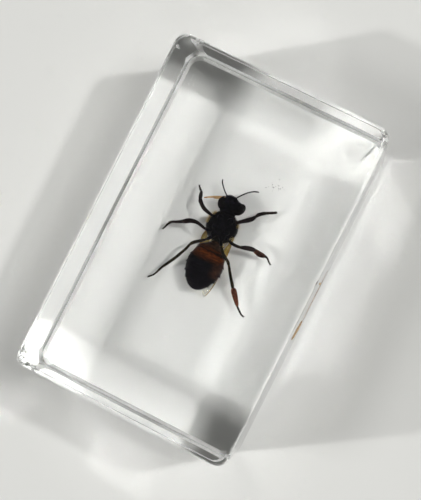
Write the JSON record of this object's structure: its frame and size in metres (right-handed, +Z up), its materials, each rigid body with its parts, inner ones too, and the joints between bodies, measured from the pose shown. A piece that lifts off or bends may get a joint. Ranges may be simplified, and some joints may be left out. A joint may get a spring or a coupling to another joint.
{
  "type": "insect in resin block",
  "caption": "A honeybee lying on its back with its legs spread, cast in a clear rectangular resin block with rounded corners and eased edges.",
  "frame": {"origin": "centre of the block's underside, on the plane that it rests on", "axes": "+X across the block's width to the bee's left as it lies, +Y along the block's length to the bee's head, +Z up through the block to the face that the bee's legs point at"},
  "size_m": [0.028, 0.044, 0.017],
  "materials": {
    "bee": "dark brown chitin with fine pale hair and thin translucent wings",
    "resin": "clear cast resin, polished, see-through"
  },
  "bodies": {
    "root": {"honeybee": "bee", "resin_lower_half": "resin", "resin_upper_half": "resin"}
  },
  "joints": []
}
